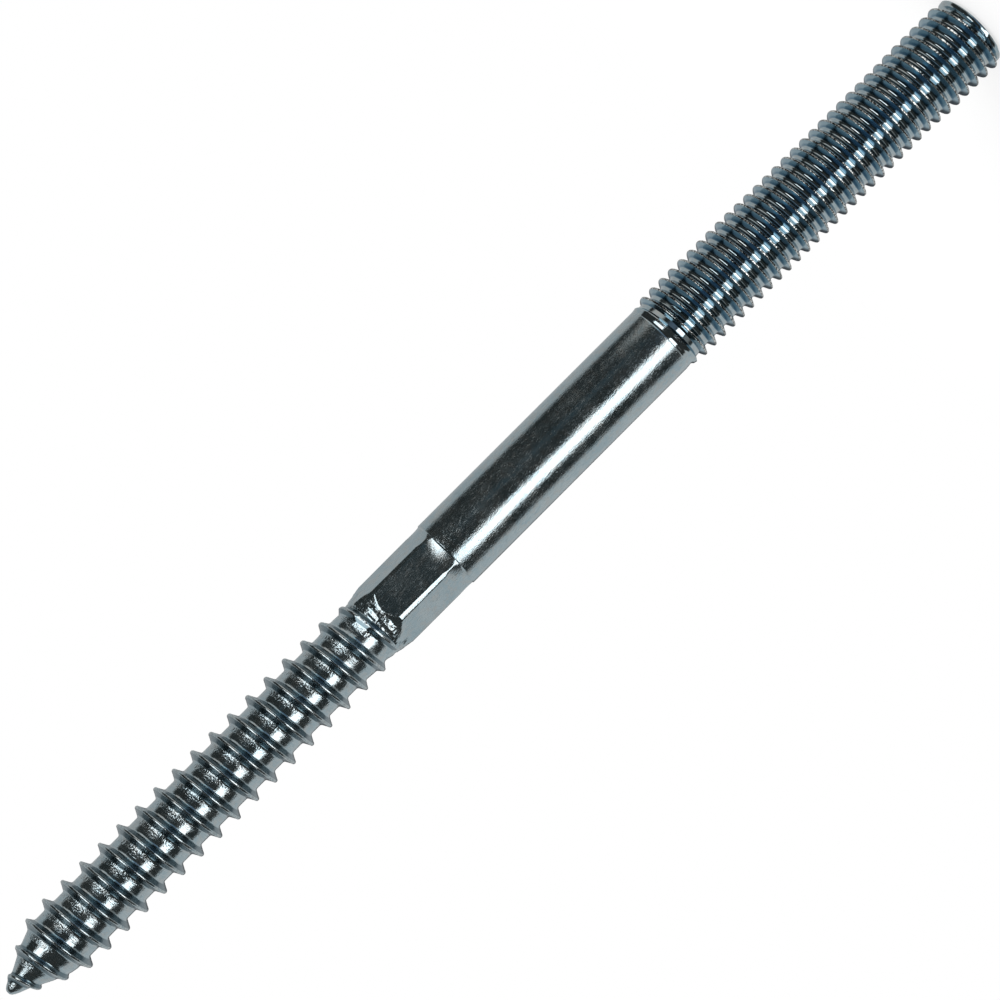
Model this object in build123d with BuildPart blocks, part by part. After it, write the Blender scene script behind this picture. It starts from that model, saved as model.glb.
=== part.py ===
from build123d import *
from math import cos, radians, sin, sqrt, tan
import os

# M10 hanger bolt, standing on its machine end at Z = 0 with the wood screw point up.
# The fine machine thread is a plain cylinder over its crests; the wood screw thread is a real ridge.

# lengths up the bolt, mm
machine_length = 50.4
shank_length = 33.8
hex_length = 9.2
neck_length = 3.7  # cone from the hexagon in to the wood screw core
wood_length = 54.2  # wood screw thread and point together

# machine end and shank
machine_diameter = 9.7
machine_pitch = 1.5
machine_thread_depth = 0.85
machine_runout = 1.5  # turns over which the thread dies out at the shank
shank_diameter = 8.7
shank_edge = 0.08

# wrench hexagon, rolled into the blank
hex_corner_diameter = 8.5
hex_across_flats = 7.44
hex_bearing = -81  # of one flat, from +X about the bolt
flat_runout_radius = 1.6

# wood screw end
wood_core_diameter = 6.86
wood_major_diameter = 9.0
wood_pitch = 2.82
flank_angle = 30
point_angle = 26  # taper of the point, each side
nose_radius = 0.6
crest_lead = 1.28  # the crests start in this far below where the core does
ridge_bearing = -90  # of the ridge at that height, from +X about the bolt
point_turns = 2.25  # of the ridge, up the point
runout_angle = 5  # the lowest turns sink into the core
runout_turns = 2.45
root_bury = 0.15  # how deep the ridge's foot lies in the core
sweep_turns = 5  # the full thread is swept in lengths of this many turns

shank_z = machine_length
hex_z = shank_z + shank_length
neck_z = hex_z + hex_length
wood_z = neck_z + neck_length
tip_z = wood_z + wood_length

machine_radius = machine_diameter / 2
shank_radius = shank_diameter / 2
hex_corner_radius = hex_corner_diameter / 2
wood_core_radius = wood_core_diameter / 2

# the core of the point runs tangent from the nose, so its length follows
nose_height = nose_radius * (1 - sin(radians(point_angle)))
nose_edge = nose_radius * cos(radians(point_angle))
point_z = tip_z - nose_height - (wood_core_radius - nose_edge) / tan(radians(point_angle))

# the ridge keeps whole turns between its run-out and the point, so that its lengths join
ridge_top = point_z - crest_lead
full_turns = round((ridge_top - wood_z) / wood_pitch - 1.5)
ridge_z = ridge_top - full_turns * wood_pitch


def ridge_path(turns, start_z, up, cone_angle=0):
    # a cone's helix is measured up its slope; one that runs down starts opposite
    with BuildLine() as path:
        Helix(
            wood_pitch / cos(radians(cone_angle)),
            turns * wood_pitch,
            wood_core_radius,
            center=(0, 0, start_z),
            direction=(0, 0, 1 if up else -1),
            cone_angle=-cone_angle,
        )
    return path.line.rotate(Axis.Z, ridge_bearing + (0 if up else 180))


ridge_paths = [
    ridge_path(min(sweep_turns, full_turns - turn), ridge_z + turn * wood_pitch, True)
    for turn in range(0, full_turns, sweep_turns)
]
heading = ridge_paths[0] % 0
ridge_paths.append(ridge_path(point_turns, ridge_top, True, point_angle))
ridge_paths.append(ridge_path(runout_turns, ridge_z, False, runout_angle))

# section of the ridge, +X away from the core
ridge_height = wood_major_diameter / 2 - wood_core_radius
foot = (ridge_height + root_bury) * tan(radians(flank_angle))
with BuildSketch() as ridge_section:
    with BuildLine():
        Polyline((ridge_height, 0), (-root_bury, foot), (-root_bury, -foot), close=True)
    make_face()

# machine end, shank, hexagon and neck
flat_distance = hex_across_flats / 2
rise = hex_corner_radius - flat_distance
curve = sqrt(flat_runout_radius**2 - (flat_runout_radius - rise) ** 2)
flat_planes = [Plane.XZ.rotated((0, 0, hex_bearing + 60 * side)) for side in range(6)]

with BuildPart() as body:
    with BuildSketch(Plane.XZ):
        with BuildLine():
            Polyline(
                (0, 0),
                (machine_radius - machine_thread_depth, 0),
                (machine_radius, machine_thread_depth),
                (machine_radius, shank_z - machine_runout * machine_pitch),
                (shank_radius, shank_z),
                (shank_radius, hex_z - shank_edge),
                (shank_radius - shank_edge, hex_z),
                (hex_corner_radius, hex_z),
                (hex_corner_radius, neck_z),
                (wood_core_radius, wood_z),
                (0, wood_z),
                close=True,
            )
        make_face()
    revolve(axis=Axis.Z)

    # each flat starts on the neck and curves out to the shank
    with BuildSketch(*flat_planes):
        with BuildLine():
            flat = Line((flat_distance, wood_z), (flat_distance, hex_z + curve))
            ramp = RadiusArc(flat @ 1, (hex_corner_radius, hex_z), -flat_runout_radius)
            Polyline(
                ramp @ 1,
                (hex_corner_diameter, hex_z + shank_edge),
                (hex_corner_diameter, wood_z),
                flat @ 0,
            )
        make_face()
    extrude(amount=hex_corner_radius, both=True, mode=Mode.SUBTRACT)

with BuildPart() as hanger_bolt:
    with BuildSketch(Plane.XZ):
        with BuildLine():
            nose = JernArc((0, tip_z), (1, 0), nose_radius, point_angle - 90)
            Polyline(
                nose @ 1,
                (wood_core_radius, point_z),
                (wood_core_radius, neck_z),
                (0, neck_z),
                (0, tip_z),
            )
        make_face()
    revolve(axis=Axis.Z)
    for path in ridge_paths:
        with BuildSketch(Plane(origin=path @ 0, x_dir=(0, -1, 0), z_dir=heading)):
            add(ridge_section.sketch)
        sweep(path=path, is_frenet=True, clean=False)
    add(body.part, clean=False)

hanger_bolt.part.label = "hanger_bolt"
os.makedirs("parts", exist_ok=True)
export_step(hanger_bolt.part, "parts/hanger_bolt.step")
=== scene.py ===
import bpy
import math
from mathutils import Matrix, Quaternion, Vector, noise


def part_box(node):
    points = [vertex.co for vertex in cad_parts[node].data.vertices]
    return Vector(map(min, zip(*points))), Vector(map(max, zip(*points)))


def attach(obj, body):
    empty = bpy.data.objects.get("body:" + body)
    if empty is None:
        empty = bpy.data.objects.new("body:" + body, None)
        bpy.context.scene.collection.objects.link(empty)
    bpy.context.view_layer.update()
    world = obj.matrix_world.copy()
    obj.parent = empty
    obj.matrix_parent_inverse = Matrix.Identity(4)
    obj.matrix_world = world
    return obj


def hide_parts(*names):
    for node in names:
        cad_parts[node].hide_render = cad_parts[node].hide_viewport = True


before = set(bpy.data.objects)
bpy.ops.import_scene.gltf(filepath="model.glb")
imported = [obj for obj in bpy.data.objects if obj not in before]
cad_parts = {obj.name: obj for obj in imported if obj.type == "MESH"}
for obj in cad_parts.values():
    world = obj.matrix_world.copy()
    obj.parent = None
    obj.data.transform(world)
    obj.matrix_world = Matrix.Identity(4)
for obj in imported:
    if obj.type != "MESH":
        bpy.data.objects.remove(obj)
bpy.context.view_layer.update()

mm = 0.001
nodeName = "hanger_bolt"
boltLow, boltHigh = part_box(nodeName)
boltLength = (boltHigh.z - boltLow.z) / mm
print("frame loaded, bolt length in mm:", round(boltLength, 2))

# how near each other points are welded, in mm
welds = {"seam": 0.0005, "wound": 0.002, "finished": 0.001, "sliver": 0.0005, "saw": 0.0001}


# small helpers for modelling by hand


def clearSelection():
    if bpy.context.mode != "OBJECT":
        bpy.ops.object.mode_set(mode="OBJECT")
    bpy.ops.object.select_all(action="DESELECT")


def makeActive(piece):
    clearSelection()
    piece.select_set(True)
    bpy.context.view_layer.objects.active = piece


def editAll(piece):
    # into edit mode with all of the piece selected
    makeActive(piece)
    bpy.ops.object.mode_set(mode="EDIT")
    bpy.ops.mesh.select_all(action="SELECT")


def drawSection(name, points):
    # a point is pulled out of a collapsed plane and extruded from stop to stop, in mm: (radius, height)
    clearSelection()
    bpy.ops.mesh.primitive_plane_add(size=mm, location=(0, 0, 0))
    piece = bpy.context.object
    piece.name = piece.data.name = name
    editAll(piece)
    bpy.ops.mesh.merge(type="CENTER")
    bpy.ops.transform.translate(value=(points[0][0] * mm, 0, points[0][1] * mm))
    for (radius, height), (nextRadius, nextHeight) in zip(points, points[1:]):
        step = ((nextRadius - radius) * mm, 0, (nextHeight - height) * mm)
        bpy.ops.mesh.extrude_region_move(TRANSFORM_OT_translate={"value": step})
    bpy.ops.object.mode_set(mode="OBJECT")
    return piece


def windSection(piece, steps, turns=1, pitch=0.0):
    # the section goes round the bolt's axis: a lathe with no pitch, a right hand thread with one
    makeActive(piece)
    screw = piece.modifiers.new("wind", "SCREW")
    screw.axis = "Z"
    screw.angle = 2 * math.pi
    screw.screw_offset = pitch * mm
    screw.iterations = turns
    screw.steps = screw.render_steps = steps
    screw.use_merge_vertices = True
    screw.merge_threshold = welds["seam"] * mm
    bpy.ops.object.modifier_apply(modifier="wind")
    editAll(piece)
    bpy.ops.mesh.remove_doubles(threshold=welds["wound"] * mm)
    bpy.ops.object.mode_set(mode="OBJECT")


def sawOff(piece, height, keepAbove):
    # a flat cut across the bolt, filled with a face where its outline is whole
    editAll(piece)
    bpy.ops.mesh.bisect(
        plane_co=(0, 0, height * mm), plane_no=(0, 0, 1), use_fill=True,
        clear_inner=keepAbove, clear_outer=not keepAbove, threshold=welds["saw"] * mm,
    )
    bpy.ops.object.mode_set(mode="OBJECT")


def markRise(piece, low, high, bottom, top):
    # how far each point stands up the thread, 0 in the groove and 1 on the crest, kept for the finish
    rise = piece.data.attributes.new("rise", "FLOAT", "POINT")
    for point, mark in zip(piece.data.vertices, rise.data):
        if bottom < point.co.z / mm < top:
            radius = math.hypot(point.co.x, point.co.y) / mm
            mark.value = max(0, (radius - low) / (high - low))


def reshape(piece, rule):
    # rule(radius, angle, height) gives each point its new radius, all in mm and radians
    for point in piece.data.vertices:
        radius = math.hypot(point.co.x, point.co.y)
        if radius > 0:
            angle = math.atan2(point.co.y, point.co.x)
            scale = rule(radius / mm, angle, point.co.z / mm) * mm / radius
            point.co.x *= scale
            point.co.y *= scale


def along(table, height):
    # straight lines between the (height, value) stops of a table
    if height <= table[0][0]:
        return table[0][1]
    for (low, start), (high, end) in zip(table, table[1:]):
        if height <= high:
            return start + (end - start) * (height - low) / (high - low)
    return table[-1][1]


def finishPiece(piece, material, smoothAngle):
    editAll(piece)
    bpy.ops.mesh.remove_doubles(threshold=welds["finished"] * mm)
    bpy.ops.mesh.dissolve_degenerate(threshold=welds["sliver"] * mm)
    bpy.ops.mesh.normals_make_consistent(inside=False)
    bpy.ops.object.mode_set(mode="OBJECT")
    bpy.ops.object.shade_smooth_by_angle(angle=math.radians(smoothAngle))
    piece.data.materials.clear()
    piece.data.materials.append(material)
    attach(piece, "root")
    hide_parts(nodeName)
    piece.data.calc_loop_triangles()
    print(piece.name, "done, triangles:", len(piece.data.loop_triangles))


# shader nodes written as sums


class Wire:
    # one output socket, with the arithmetic that the finishes use
    def __init__(self, tree, socket):
        self.tree = tree
        self.socket = socket

    def math(self, operation, other=None, swap=False):
        pair = [other, self] if swap else [self, other]
        values = {index: value for index, value in enumerate(pair) if value is not None}
        return self.tree.node("ShaderNodeMath", {"operation": operation}, values)

    def __add__(self, other):
        return self.math("ADD", other)

    def __radd__(self, other):
        return self.math("ADD", other, swap=True)

    def __sub__(self, other):
        return self.math("SUBTRACT", other)

    def __rsub__(self, other):
        return self.math("SUBTRACT", other, swap=True)

    def __mul__(self, other):
        return self.math("MULTIPLY", other)

    def __rmul__(self, other):
        return self.math("MULTIPLY", other, swap=True)

    def __truediv__(self, other):
        return self.math("DIVIDE", other)

    def __rtruediv__(self, other):
        return self.math("DIVIDE", other, swap=True)


class NodeTree:
    def __init__(self, owner):
        owner.use_nodes = True
        self.tree = owner.node_tree
        self.tree.nodes.clear()

    def node(self, kind, settings=None, inputs=None, output=0):
        made = self.tree.nodes.new(kind)
        for key, value in (settings or {}).items():
            setattr(made, key, value)
        for key, value in (inputs or {}).items():
            if isinstance(value, Wire):
                self.tree.links.new(value.socket, made.inputs[key])
            else:
                made.inputs[key].default_value = value
        if isinstance(output, tuple):
            return [Wire(self, made.outputs[index]) for index in output]
        return Wire(self, made.outputs[output]) if len(made.outputs) else None

    def fade(self, value, low, high, start=0.0, end=1.0):
        return self.node(
            "ShaderNodeMapRange", {"interpolation_type": "SMOOTHSTEP"},
            {"Value": value, "From Min": low, "From Max": high, "To Min": start, "To Max": end},
        )

    def mixColour(self, factor, first, second):
        return self.node(
            "ShaderNodeMix", {"data_type": "RGBA"},
            {"Factor": factor, 6: first, 7: second}, output=2,
        )

    def noise(self, place, scale, detail, roughness, distortion=0.0):
        return self.node(
            "ShaderNodeTexNoise", {},
            {
                "Vector": place, "Scale": scale, "Detail": detail,
                "Roughness": roughness, "Distortion": distortion,
            },
        )

    def alignment(self, ray, direction):
        # cosine of the angle between a ray and a fixed direction
        return self.node(
            "ShaderNodeVectorMath", {"operation": "DOT_PRODUCT"}, {0: ray, 1: direction}, output=1,
        )


# zinc plating

zincColours = {
    "blueZinc": (0.40, 0.505, 0.55, 1),
    "paleZinc": (0.50, 0.575, 0.60, 1),
    "warmZinc": (0.50, 0.515, 0.505, 1),
    "darkStain": (0.22, 0.27, 0.29, 1),
    # beads along the crest of a thread, where the rolls met, painted pale and almost black as painted glints
    # and painted dark reflections
    "paintedGlintBead": (0.72, 0.73, 0.71, 1),
    "paintedDarkBead": (0.06, 0.055, 0.05, 1),
}

# each pattern's noise: features to the mm, detail, roughness, and for some a distortion
zincPatterns = {
    "cloud": (0.35, 4, 0.55),
    "patch": (1.1, 3, 0.6),
    "grain": (8.0, 2, 0.6),
    "lumps": (1.7, 3, 0.6, 0.4),
    "ticks": (6.0, 2, 0.6),
    "dashes": (6.5, 2, 0.6),
    "beads": (4.6, 1, 0.5),
    "specks": (3.2, 2, 0.5),
}

# where each mark begins and where it is whole
zincMarks = {
    # up the thread, as shares of its rise: where the painted shade on the flanks begins, where it lightens,
    # and the crest
    "flank": (0.09, 0.26), "highFlankShade": (0.25, 0.60), "crest": (0.88, 0.95),
    # across the groove, as shares of the pitch, and towards +X in mm
    "biteStart": (0.70, 0.76), "biteEnd": (0.94, 1.0), "biteSide": (-1.0, 0.2),
    # levels of the patterns; above the bead level a crest bead is painted pale as a glint, and below it
    # almost black as a dark reflection
    "pale": (0.40, 0.60), "warm": (0.48, 0.62), "paintedGlintBead": (0.44, 0.54), "stain": (0.56, 0.70),
    "speck": (0.60, 0.72), "dull": (0.40, 0.62), "scuff": (0.52, 0.66),
}

zincLay = {
    "tickLean": 0.13, "tickStretch": 0.26,  # radians off the axis; a lower stretch draws the ticks out longer
    "dashStretch": 0.9,  # of the dashes along the thread
    "flankLumps": 0.2,  # share of the lumps that the flanks keep
    "biteTicks": 0.6, "biteLevel": 0.8, "shallowBite": 0.35,  # the last is the bite's share on the -X side
    "speckRough": 0.08,
}

# grain, dashes, lumps, beads and bite are the depth of the relief in mm; the two flank colours are painted
# shade, darkest low on the flanks, and rub sets how strongly the crest's beads are painted, partly as real
# rubbing and partly as painted glints and dark reflections
shankFinish = {
    "roughLow": 0.10, "roughHigh": 0.20, "flankRough": 0.0, "crestRough": 0.0, "scuff": 0.10,
    "grain": 0.010, "dashes": 0.012, "lumps": 0.004, "beads": 0.0, "bite": 0.0,
    "lowFlankShade": (0.40, 0.505, 0.55, 1), "highFlankShade": (0.40, 0.505, 0.55, 1),
    "rubAndGlint": 0.0, "warm": 0.5, "stain": 0.2,
}

machineFinish = {
    "roughLow": 0.07, "roughHigh": 0.11, "flankRough": 0.04, "crestRough": 0.02, "scuff": 0.0,
    "grain": 0.001, "dashes": 0.003, "lumps": 0.002, "beads": 0.03, "bite": 0.0,
    "lowFlankShade": (0.15, 0.27, 0.36, 1), "highFlankShade": (0.34, 0.47, 0.54, 1),
    "rubAndGlint": 0.90, "warm": 0.6, "stain": 0.2,
}

woodFinish = {
    "roughLow": 0.08, "roughHigh": 0.18, "flankRough": 0.06, "crestRough": 0.0, "scuff": 0.04,
    "grain": 0.008, "dashes": 0.014, "lumps": 0.016, "beads": 0.006, "bite": 0.060,
    "lowFlankShade": (0.145, 0.21, 0.24, 1), "highFlankShade": (0.175, 0.235, 0.265, 1),
    "rubAndGlint": 0.25, "warm": 0.5, "stain": 0.3,
}


def zincMaterial(name, finish, thread=None):
    # the marks run round the bolt along the thread, or up the bolt where there is none
    material = bpy.data.materials.new(name)
    tree = NodeTree(material)
    perMm = 1 / mm
    place = tree.node("ShaderNodeTexCoord", output=3)
    inMm = tree.node("ShaderNodeMapping", {}, {"Vector": place, "Scale": (perMm, perMm, perMm)})
    leaning = tree.node("ShaderNodeMapping", {}, {"Vector": place, "Rotation": (0, zincLay["tickLean"], 0)})
    stretched = (perMm, perMm, perMm * zincLay["tickStretch"])
    lengthways = tree.node("ShaderNodeMapping", {}, {"Vector": leaning, "Scale": stretched})
    rise = tree.node("ShaderNodeAttribute", {"attribute_name": "rise"}, output=2)

    def marked(value, kind):
        return tree.fade(value, *zincMarks[kind])

    def mean(first, second):
        return (first + second) * 0.5

    cloud = tree.noise(inMm, *zincPatterns["cloud"])
    patch = tree.noise(inMm, *zincPatterns["patch"])
    grain = tree.noise(inMm, *zincPatterns["grain"])
    lumps = tree.noise(inMm, *zincPatterns["lumps"])
    ticks = tree.noise(lengthways, *zincPatterns["ticks"])
    beads = tree.noise(inMm, *zincPatterns["beads"])
    specks = tree.noise(inMm, *zincPatterns["specks"])
    crest = marked(rise, "crest")
    flank = marked(rise, "flank") * (1 - crest)

    relief = (
        grain * (finish["grain"] * mm)
        + lumps * (finish["lumps"] * mm) * (1 - flank * (1 - zincLay["flankLumps"]))
        + beads * crest * (finish["beads"] * mm)
    )
    if thread:
        # the rolls also bit into one side of each groove
        x, y, z = tree.node("ShaderNodeSeparateXYZ", {}, {0: inMm}, output=(0, 1, 2))
        turn = tree.node("ShaderNodeMath", {"operation": "ARCTAN2"}, {0: x, 1: 0 - y})
        radius = (x * x + y * y).math("SQRT")
        across = z - turn * (thread["pitch"] / (2 * math.pi))
        drawn = {0: turn * zincLay["dashStretch"], 1: radius, 2: across}
        dashes = tree.noise(tree.node("ShaderNodeCombineXYZ", {}, drawn), *zincPatterns["dashes"])
        quarterTurn = 0.25  # from -Y, where turn is nothing, to +X, where the thread starts
        share = ((across - thread["start"]) / thread["pitch"] + quarterTurn).math("FRACT")
        side = tree.fade(x, *zincMarks["biteSide"], zincLay["shallowBite"], 1.0)
        bitten = marked(share, "biteStart") * (1 - marked(share, "biteEnd")) * side
        bite = ticks * zincLay["biteTicks"] + beads - zincLay["biteLevel"]
        relief = relief + bite * bitten * (finish["bite"] * mm)
    else:
        dashes = ticks
    relief = relief + dashes * (finish["dashes"] * mm)

    pale = marked(mean(dashes, cloud), "pale")
    colour = tree.mixColour(pale, zincColours["blueZinc"], zincColours["paleZinc"])
    colour = tree.mixColour(marked(patch, "warm") * finish["warm"], colour, zincColours["warmZinc"])
    # painted shade: the flanks darker and bluer than the zinc, darkest low down towards the groove
    paintedFlankShade = tree.mixColour(marked(rise, "highFlankShade"), finish["lowFlankShade"], finish["highFlankShade"])
    colour = tree.mixColour(flank, colour, paintedFlankShade)
    # the crest's beads, painted pale and almost black: real rubbing on the crest with painted glints and
    # painted dark reflections
    rubbedGlints = tree.mixColour(marked(beads, "paintedGlintBead"), zincColours["paintedDarkBead"], zincColours["paintedGlintBead"])
    colour = tree.mixColour(crest * finish["rubAndGlint"], colour, rubbedGlints)
    colour = tree.mixColour(marked(lumps, "stain") * finish["stain"], colour, zincColours["darkStain"])

    span = finish["roughHigh"] - finish["roughLow"]
    rough = finish["roughLow"] + marked(mean(grain, cloud), "dull") * span
    rough = rough + marked(specks, "speck") * zincLay["speckRough"]
    rough = rough + marked(dashes, "scuff") * finish["scuff"]
    rough = rough + flank * finish["flankRough"] + crest * finish["crestRough"]

    bump = tree.node("ShaderNodeBump", {}, {"Strength": 1.0, "Distance": 1.0, "Height": relief})
    metal = tree.node(
        "ShaderNodeBsdfPrincipled", {},
        {"Base Color": colour, "Metallic": 1.0, "Roughness": rough, "Normal": bump},
    )
    tree.node("ShaderNodeOutputMaterial", {}, {"Surface": metal})
    return material


# machine thread

machineThread = {
    "pitch": 1.5, "start": -1.69, "turns": 35, "steps": 96, "smoothAngle": 50,
    # one groove to the next, over the crest: (radius, height)
    "section": [
        (3.95, 0.0), (3.953, 0.11), (3.985, 0.195), (4.07, 0.27), (4.36, 0.43), (4.66, 0.585),
        (4.74, 0.63), (4.782, 0.67), (4.795, 0.70), (4.772, 0.75), (4.795, 0.80), (4.782, 0.83),
        (4.74, 0.87), (4.66, 0.915), (4.36, 1.07), (4.07, 1.23), (3.985, 1.305), (3.953, 1.39), (3.95, 1.5),
    ],
    # the other tables go up the thread: (height, value)
    "crest": [(8.5, 4.89), (11.5, 4.75), (31.0, 4.75), (36.0, 4.80)],
    # what the crests stay under and the grooves stay over, which runs the thread out at both ends
    "crestUnder": [
        (0.0, 3.40), (0.15, 3.95), (0.30, 4.44), (0.40, 4.55), (0.92, 4.53), (1.06, 4.95), (47.0, 4.95),
        (48.6, 4.74), (49.3, 4.55), (50.1, 4.39), (50.6, 4.33),
    ],
    "grooveOver": [
        (0.0, 3.40), (0.15, 3.95), (0.30, 4.44), (0.40, 4.55), (0.84, 4.52), (0.97, 4.20), (1.06, 3.95),
        (46.5, 3.95), (48.0, 4.02), (49.2, 4.18), (50.2, 4.32), (50.6, 4.33),
    ],
    # the thread leans towards -X where it was rolled last
    "lean": [(0.0, 0.04), (1.5, 0.15), (8.5, 0.15), (11.5, 0.06), (31.0, 0.06), (36.0, 0.0)],
    "innermost": 1.0,  # radius inside which the end's face stays as it is
    "marked": (0.95, 49.0),  # plain metal outside these heights
    "bottom": 0.0, "top": 51.2,  # the top stays open, inside the shank: the last turn ends partly below it
}


def buildMachineThread(material):
    thread = machineThread
    points = [(radius, height + thread["start"]) for radius, height in thread["section"]]
    piece = drawSection("machine_thread", points)
    windSection(piece, thread["steps"], thread["turns"], thread["pitch"])
    sawOff(piece, thread["bottom"], True)
    sawOff(piece, thread["top"], False)
    root = min(radius for radius, height in points)
    crest = max(radius for radius, height in points)
    markRise(piece, root, crest, *thread["marked"])

    def rolled(radius, angle, height):
        if radius <= thread["innermost"]:
            return radius
        grown = root + (radius - root) * (along(thread["crest"], height) - root) / (crest - root)
        kept = max(min(grown, along(thread["crestUnder"], height)), along(thread["grooveOver"], height))
        return kept - math.cos(angle) * along(thread["lean"], height)

    reshape(piece, rolled)
    finishPiece(piece, material, thread["smoothAngle"])


# shank, wrench hexagon and neck, one rolled blank

rolledNeck = {
    # a flat pressed behind the first turn: bearing from -Y towards +X, then up the bolt its distance from
    # the axis and the radius that it ends at
    "bearing": 17,
    "flat": [(95.86, 9.0), (95.95, 3.84), (97.15, 3.45), (98.0, 3.60), (98.1, 9.0)],
    "within": [(95.95, 3.97), (97.1, 3.60), (98.1, 3.62)],
    "leastFacing": 0.1,
    # radius that the front and back stay under, up the bolt, and how much more the sides keep; a higher
    # power makes those sides narrower
    "under": [
        (92.8, 4.50), (93.0, 4.20), (93.6, 3.87), (93.8, 3.77), (94.6, 3.71), (94.85, 3.57), (95.25, 3.53),
        (95.45, 3.40), (95.6, 3.20), (97.2, 3.10),
    ],
    "sideSwell": 0.55, "sidePower": 4,
}

blank = {
    "steps": 420, "smoothAngle": 35,
    # up the outside: (radius, height)
    "shank": [
        (0.0, 49.9), (3.9, 49.9), (4.2, 50.25), (4.33, 50.4), (4.35, 50.55), (4.35, 58), (4.35, 67),
        (4.35, 76), (4.35, 84.05), (4.33, 84.16), (4.25, 84.2),
    ],
    "hexTop": (4.22, 93.5), "neckTop": (3.52, 97.2),
    "inner": [(3.2, 97.5), (0.0, 97.5)],
    "hexRings": 74, "neckRings": 40,
    # the flats, one of them with its middle this many degrees from +X, and the short ramps that they rise
    # to the shoulder in
    "flatDistance": 3.80, "flatAngle": -80.6, "cornerBlend": 0.035, "cornerCut": 0.25,
    "rampLength": 2.0, "rampRise": 0.30, "rampRound": 0.35,
    # depth of the uneven wear up the neck, features to the mm, and the noise's falloff, step and octaves
    "wear": [(93.5, 0.0), (94.0, 0.05)], "wearScale": 1.7, "wearRadius": 4.0, "wearNoise": (1, 2, 3),
}


def pressNeckFlat(radius, angle, height):
    # bearings count from -Y, and angles from +X
    neck = rolledNeck
    facing = max(neck["leastFacing"], math.cos(angle - math.radians(neck["bearing"] - 90)))
    flat = along(neck["flat"], height) / facing
    return flat if flat < along(neck["within"], height) else radius


def buildBlank(material):
    lastRadius, lastHeight = blank["shank"][-1]
    hexStart = lastHeight
    outline = list(blank["shank"])
    for end, count in (("hexTop", blank["hexRings"]), ("neckTop", blank["neckRings"])):
        radius, height = blank[end]
        grow = (radius - lastRadius) / count
        rise = (height - lastHeight) / count
        outline += [(lastRadius + grow * ring, lastHeight + rise * ring) for ring in range(1, count + 1)]
        lastRadius, lastHeight = radius, height
    piece = drawSection("shank_and_hexagon", outline + blank["inner"])
    windSection(piece, blank["steps"])

    def pressed(radius, angle, height):
        # six flats, each rising and rounding off to the shoulder, worn and uneven down at the neck
        if height < hexStart + welds["finished"]:
            return radius
        ramp = max(0, 1 - (height - hexStart) / blank["rampLength"])
        sixth = math.pi / 3
        off = (angle - math.radians(blank["flatAngle"]) + sixth / 2) % sixth - sixth / 2
        rounded = off * (1 - blank["rampRound"] * ramp)
        flat = (blank["flatDistance"] + blank["rampRise"] * ramp ** 2) / math.cos(rounded)
        corner = max(0, 1 - abs(flat - radius) / blank["cornerBlend"])
        shaped = min(radius, flat) - corner ** 2 * blank["cornerBlend"] * blank["cornerCut"]
        swell = rolledNeck["sideSwell"] * math.cos(angle) ** rolledNeck["sidePower"]
        rolled = min(shaped, along(rolledNeck["under"], height) + swell)
        around = blank["wearRadius"]
        spot = Vector((math.cos(angle) * around, math.sin(angle) * around, height)) * blank["wearScale"]
        return rolled + noise.fractal(spot, *blank["wearNoise"]) * along(blank["wear"], height)

    reshape(piece, pressed)
    finishPiece(piece, material, blank["smoothAngle"])


# wood screw thread

woodThread = {
    "pitch": 2.82, "start": 89.46, "turns": 23, "steps": 96, "smoothAngle": 50,
    "rootRadius": 3.43, "ridgeHeight": 1.07,
    # one groove to the next, over the ridge: (share of the ridge's height, height)
    "section": [
        (0.0, 0.0), (0.0, 0.28), (0.0, 0.54), (0.03, 0.70), (0.11, 0.81), (0.24, 0.89), (0.50, 1.03),
        (0.75, 1.165), (0.93, 1.245), (0.985, 1.31), (1.0, 1.41), (0.985, 1.51), (0.93, 1.575),
        (0.75, 1.655), (0.50, 1.79), (0.24, 1.93), (0.11, 2.01), (0.03, 2.12), (0.0, 2.28), (0.0, 2.54),
        (0.0, 2.82),
    ],
    # the other tables go up the thread, (height, value): radius of the core, then height of the ridge
    "core": [
        (93.0, 3.30), (96.4, 3.50), (97.6, 3.62), (98.9, 3.66), (100.6, 3.50), (144.2, 3.49), (145.0, 3.33),
        (145.3, 3.20), (146.9, 2.59), (147.85, 2.09), (149.15, 1.39), (150.45, 0.875), (150.85, 0.68),
        (151.1, 0.50), (151.25, 0.30), (151.33, 0.12),
    ],
    "ridge": [
        (93.0, -0.1), (94.6, 0.25), (95.6, 0.45), (96.6, 0.60), (98.0, 0.66), (99.4, 0.86), (100.8, 0.90),
        (102.2, 0.98), (104.0, 1.01), (142.8, 1.01), (144.3, 0.81), (145.6, 0.55), (148.7, 0.56),
        (150.1, 0.25), (150.8, 0.0),
    ],
    # a higher power makes the ridge thinner
    "thin": [(144.0, 1.0), (147.0, 1.8), (150.5, 2.5)],
    "bottom": 94.0, "tipGap": 0.02,  # the tip stays just under the solid's
}


def buildWoodThread(material):
    thread = woodThread
    root, ridgeHeight = thread["rootRadius"], thread["ridgeHeight"]
    points = [(root + share * ridgeHeight, height + thread["start"]) for share, height in thread["section"]]
    piece = drawSection("wood_thread", points)
    windSection(piece, thread["steps"], thread["turns"], thread["pitch"])
    tip = boltLength - thread["tipGap"]
    sawOff(piece, thread["bottom"], True)
    sawOff(piece, tip, False)
    markRise(piece, root, root + ridgeHeight, thread["bottom"], tip)

    def pointed(radius, angle, height):
        share = max(0, (radius - root) / ridgeHeight)
        ridge = share ** along(thread["thin"], height) * along(thread["ridge"], height)
        return pressNeckFlat(along(thread["core"], height) + ridge, angle, height)

    reshape(piece, pointed)
    finishPiece(piece, material, thread["smoothAngle"])


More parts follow.
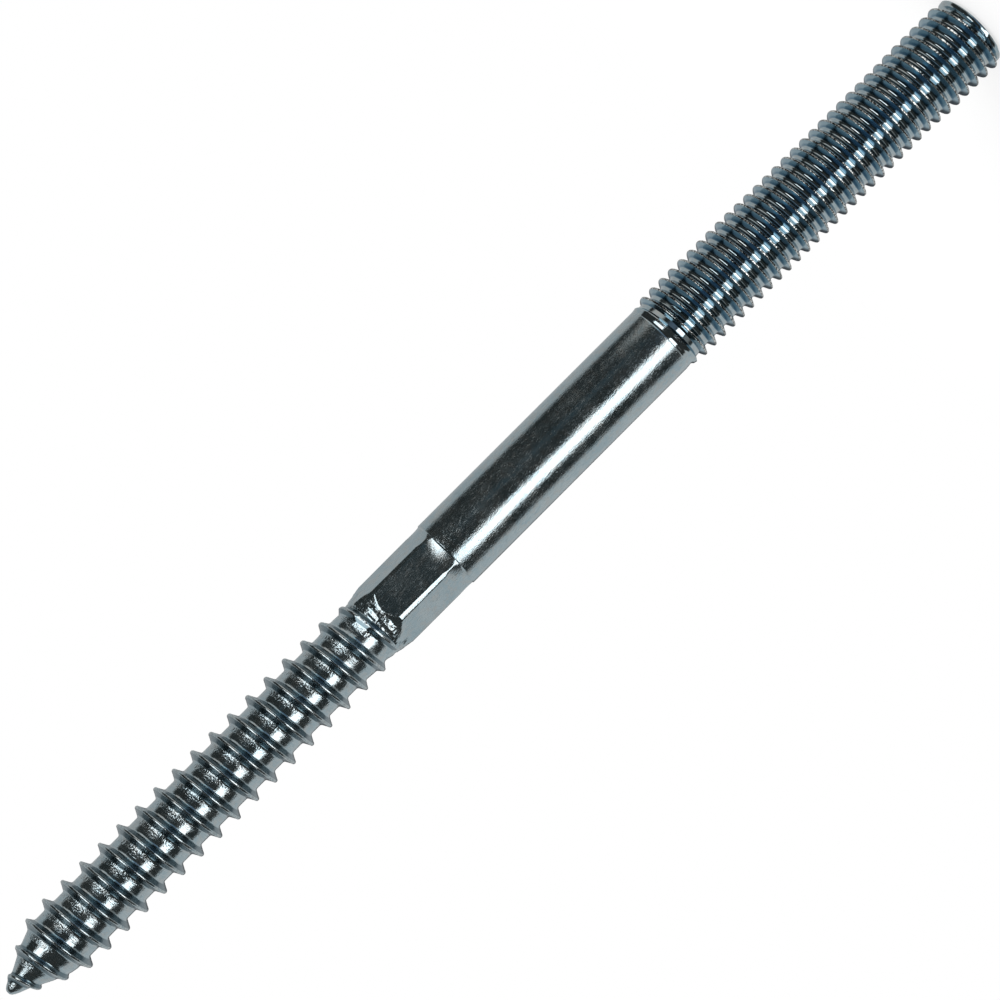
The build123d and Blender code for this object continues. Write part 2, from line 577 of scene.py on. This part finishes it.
buildMachineThread(zincMaterial("zinc_machine_thread", machineFinish, machineThread))
buildBlank(zincMaterial("zinc_shank", shankFinish))
buildWoodThread(zincMaterial("zinc_wood_thread", woodFinish, woodThread))


# floor, light and camera


def heading(bearing, above=0):
    # a direction, degrees from -Y towards +X and degrees above level
    side, up = math.radians(bearing), math.radians(above)
    return Vector((math.sin(side) * math.cos(up), -math.cos(side) * math.cos(up), math.sin(up)))


def aim(thing, direction, roll):
    thing.rotation_mode = "QUATERNION"
    level = direction.to_track_quat("-Z", "Y")
    thing.rotation_quaternion = level @ Quaternion((0, 0, 1), math.radians(roll))


paleFloor = {
    "radius": 150.0, "edges": 96, "rings": (0.5, 0.25),  # rings are set in by shares of the radius
    "tone": 0.93, "shadow": 0.35, "fade": (0.35, 0.95),  # the shadow fades out between two shares
}


def buildFloor():
    clearSelection()
    radius = paleFloor["radius"] * mm
    bpy.ops.mesh.primitive_circle_add(
        vertices=paleFloor["edges"], radius=radius, fill_type="NGON", location=(0, 0, 0),
    )
    floor = bpy.context.object
    floor.name = "floor"
    editAll(floor)
    for share in paleFloor["rings"]:
        bpy.ops.mesh.inset(thickness=radius * share)
    bpy.ops.object.mode_set(mode="OBJECT")

    material = bpy.data.materials.new("pale_floor")
    tree = NodeTree(material)
    place = tree.node("ShaderNodeTexCoord", output=3)
    reach = tree.node("ShaderNodeVectorMath", {"operation": "LENGTH"}, {0: place}, output=1)
    tone = paleFloor["tone"]
    lit = tree.node("ShaderNodeBsdfDiffuse", {}, {"Color": (tone, tone, tone, 1)})
    white = tree.node("ShaderNodeEmission", {}, {"Color": (1, 1, 1, 1), "Strength": 1.0})
    camera = tree.node("ShaderNodeLightPath", output=0)
    inner, outer = paleFloor["fade"]
    edge = tree.fade(reach, radius * inner, radius * outer)
    whitened = camera * (1 - (1 - edge) * paleFloor["shadow"])
    surface = tree.node("ShaderNodeMixShader", {}, {0: whitened, 1: lit, 2: white})
    tree.node("ShaderNodeOutputMaterial", {}, {"Surface": surface})
    floor.data.materials.append(material)
    floor.visible_glossy = False  # the metal shows the studio around it, not the floor


room = {
    # the metal sees a pale sweep behind it, deep at its middle, and a dim room in front
    "paleRight": (0.59, 0.605, 0.61, 1), "paleLeft": (0.48, 0.495, 0.50, 1), "leftEdge": (-0.8, 0.8),
    "deep": (0.08, 0.085, 0.09, 1), "deepEdge": (0.92, 0.99),
    "dim": (0.031, 0.034, 0.033, 1), "sweepEdge": (0.04, 0.17),
    "bearing": 7,  # the dim side faces this far from -Y towards +X
    "even": (1, 1, 1, 1),  # light that falls on the floor and is scattered
    "white": (1, 1, 1, 1),  # what the camera sees
}

glows = {
    # faint light low in the room: bearing and degrees above level; radiance; how near a ray must point
    # to see it begin and to see it whole, as cosines
    "lowLeft": {"bearing": 66, "above": -42, "tone": (0.60, 0.58, 0.56, 1), "edge": (0.86, 0.92)},
    "lowMiddle": {"bearing": 3, "above": -46, "tone": (0.14, 0.20, 0.27, 1), "edge": (0.88, 0.96)},
    "lowBlue": {"bearing": 34, "above": -45, "tone": (0.55, 0.80, 0.90, 1), "edge": (0.985, 0.996)},
    "lowRight": {"bearing": -62, "above": -42, "tone": (0.25, 0.26, 0.26, 1), "edge": (0.91, 0.95)},
    "side": {"bearing": 29, "above": -8, "tone": (0.05, 0.07, 0.08, 1), "edge": (0.985, 0.997)},
}


def buildSky():
    world = bpy.data.worlds.new("studio")
    bpy.context.scene.world = world
    tree = NodeTree(world)
    ray = tree.node("ShaderNodeTexCoord", output=0)
    behind = tree.alignment(ray, -heading(room["bearing"]))
    sideways = tree.node("ShaderNodeSeparateXYZ", {}, {0: ray}, output=0)
    pale = tree.mixColour(tree.fade(sideways, *room["leftEdge"]), room["paleRight"], room["paleLeft"])
    sweep = tree.mixColour(tree.fade(behind, *room["deepEdge"]), pale, room["deep"])
    around = tree.mixColour(tree.fade(behind, *room["sweepEdge"]), room["dim"], sweep)
    for glow in glows.values():
        near = tree.alignment(ray, heading(glow["bearing"], glow["above"]))
        around = tree.mixColour(tree.fade(near, *glow["edge"]), around, glow["tone"])
    camera, glossy = tree.node("ShaderNodeLightPath", output=(0, 3))
    tone = tree.mixColour(glossy, room["even"], around)
    tone = tree.mixColour(camera, tone, room["white"])
    sky = tree.node("ShaderNodeBackground", {}, {"Color": tone, "Strength": 1.0})
    tree.node("ShaderNodeOutputWorld", {}, {"Surface": sky})


lamps = {
    # bearing; distance, width, height and height of the middle in mm; degrees that it leans; radiance
    "softbox": {
        "bearing": -31.7, "distance": 1200, "width": 615, "height": 1010, "middle": -260,
        "lean": 8, "glow": 2.6,
    },
    "side_box": {
        "bearing": 33, "distance": 1200, "width": 762, "height": 2000, "middle": 1330,
        "lean": 0, "glow": 2.2,
    },
}


def buildLamps():
    for name, lamp in lamps.items():
        data = bpy.data.lights.new(name, "AREA")
        data.shape = "RECTANGLE"
        data.size = lamp["width"] * mm
        data.size_y = lamp["height"] * mm
        data.energy = lamp["glow"] * math.pi * data.size * data.size_y
        light = bpy.data.objects.new(name, data)
        bpy.context.collection.objects.link(light)
        outward = heading(lamp["bearing"])
        light.location = outward * lamp["distance"] * mm
        light.location.z = lamp["middle"] * mm
        aim(light, -outward, lamp["lean"])
        light.visible_camera = False


cameraSetup = {"distance": 400.0, "aboveMiddle": 6.36, "roll": -135.03, "focal": 130.59, "clipStart": 0.01}


def buildCamera():
    data = bpy.data.cameras.new("camera")
    data.lens = cameraSetup["focal"]
    data.clip_start = cameraSetup["clipStart"]
    camera = bpy.data.objects.new("camera", data)
    bpy.context.collection.objects.link(camera)
    back = heading(0, cameraSetup["aboveMiddle"])
    camera.location = Vector((0, 0, boltLength / 2 * mm)) + back * cameraSetup["distance"] * mm
    aim(camera, -back, cameraSetup["roll"])
    bpy.context.scene.camera = camera


buildFloor()
buildSky()
buildLamps()
buildCamera()
bpy.context.scene.view_settings.view_transform = "Standard"
print("floor, light and camera placed")
